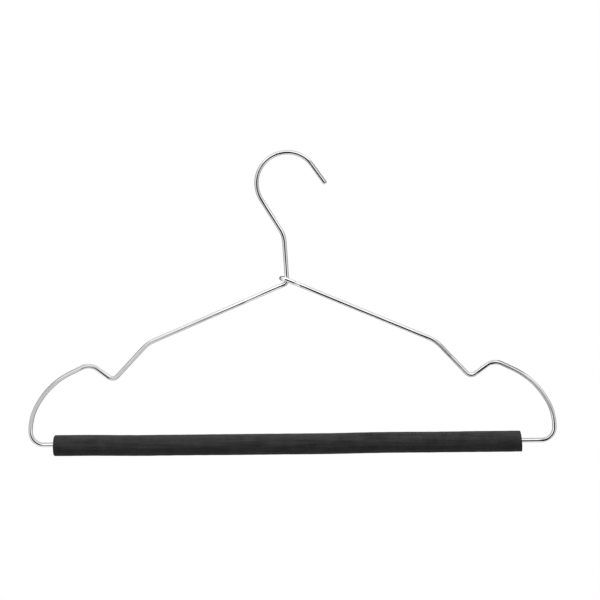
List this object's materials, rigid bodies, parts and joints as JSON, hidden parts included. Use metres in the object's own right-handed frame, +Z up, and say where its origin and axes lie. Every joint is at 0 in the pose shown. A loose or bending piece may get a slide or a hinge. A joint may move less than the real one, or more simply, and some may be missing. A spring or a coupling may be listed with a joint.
{
  "type": "suit hanger",
  "caption": "Bent chrome wire clothes hanger with notched shoulders, an open hook and a foam sleeve that rolls on its trouser bar.",
  "frame": {"origin": "the hook's seat: the point inside the crown of the hook that rests on the rail", "axes": "+X along the trouser bar, towards the side where the hook is open; +Y away from the viewer, through the hanger's flat plane; +Z up"},
  "size_m": [0.4224, 0.0162, 0.2431],
  "materials": {
    "chrome_wire": "bright polished chrome plate on steel wire",
    "foam": "matte black closed-cell foam"
  },
  "bodies": {
    "frame": {"wire_frame": "chrome_wire"},
    "sleeve": {"foam_sleeve": "foam"}
  },
  "joints": [
    {"name": "sleeve_roll", "type": "hinge", "parent": "frame", "child": "sleeve", "pos_m": [-0.00125, 0, -0.23155], "axis": [1, 0, 0], "continuous": true}
  ]
}
